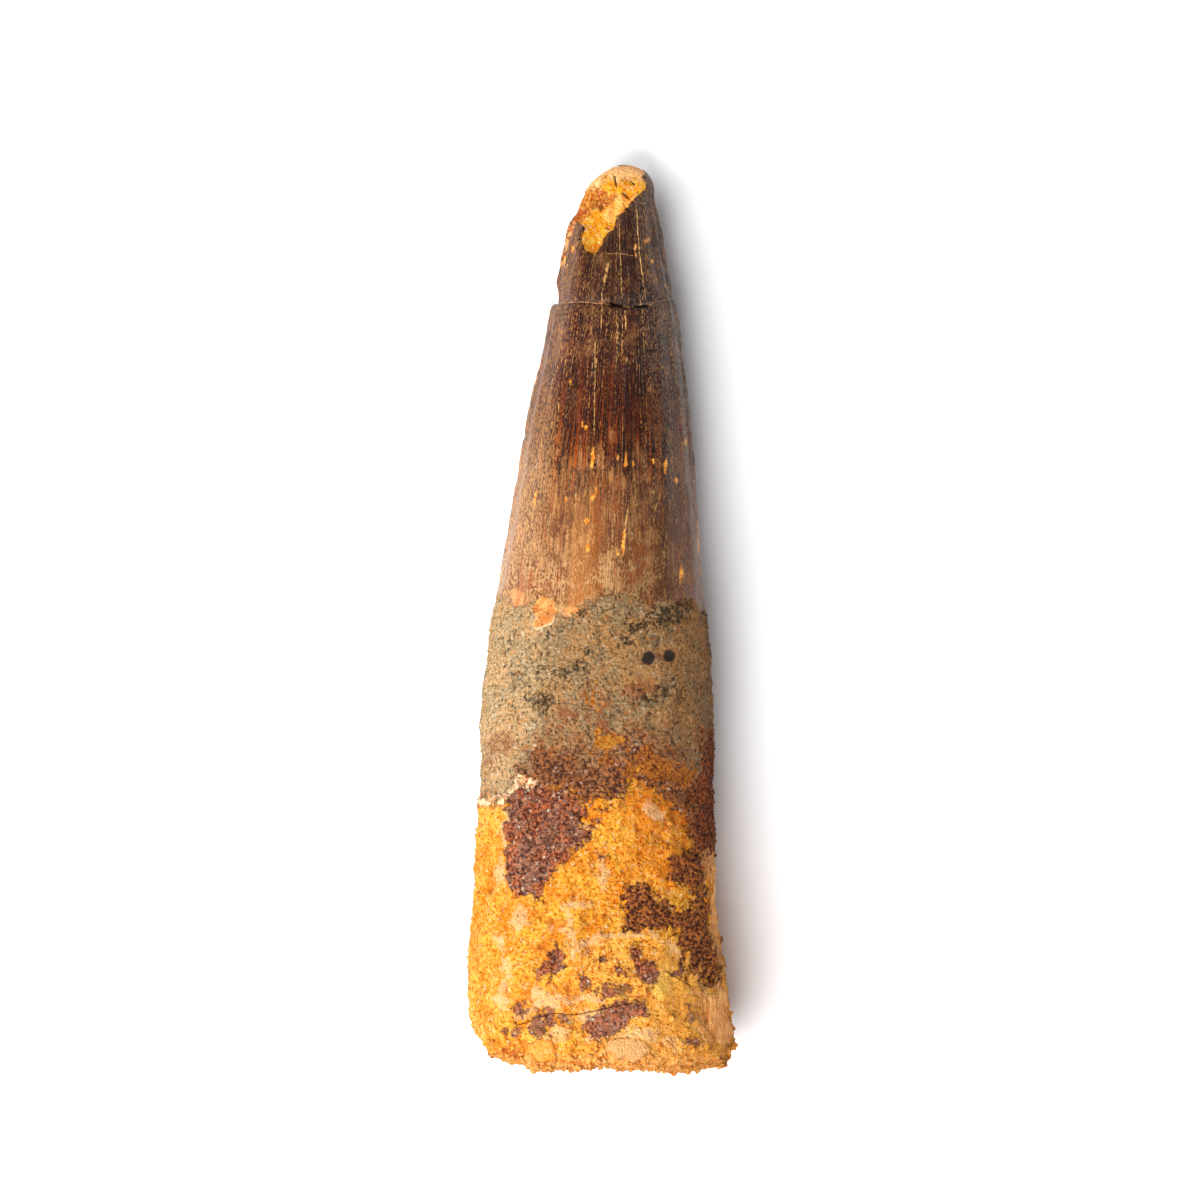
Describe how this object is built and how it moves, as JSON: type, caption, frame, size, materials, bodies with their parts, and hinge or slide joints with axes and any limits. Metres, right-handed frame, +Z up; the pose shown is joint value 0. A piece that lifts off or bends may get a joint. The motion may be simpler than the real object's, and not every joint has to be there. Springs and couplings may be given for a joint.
{
  "type": "fossil spinosaurus tooth",
  "caption": "Long conical fossil tooth lying on its side: dark fluted crown with a chipped tip, sandy collar and a broken, earthy ochre root.",
  "frame": {"origin": "under the middle of the tooth's outline, on the surface that it rests on", "axes": "+Y from the root towards the tip, +Z up out of the resting surface, +X to the right as seen from above with the tip away"},
  "size_m": [0.0268, 0.0904, 0.0219],
  "materials": {
    "tooth": "fossil enamel, semi-glossy and dark brown, on the crown; matt sandy crust and ochre root below"
  },
  "bodies": {
    "root": {"tooth": "tooth"}
  },
  "joints": []
}
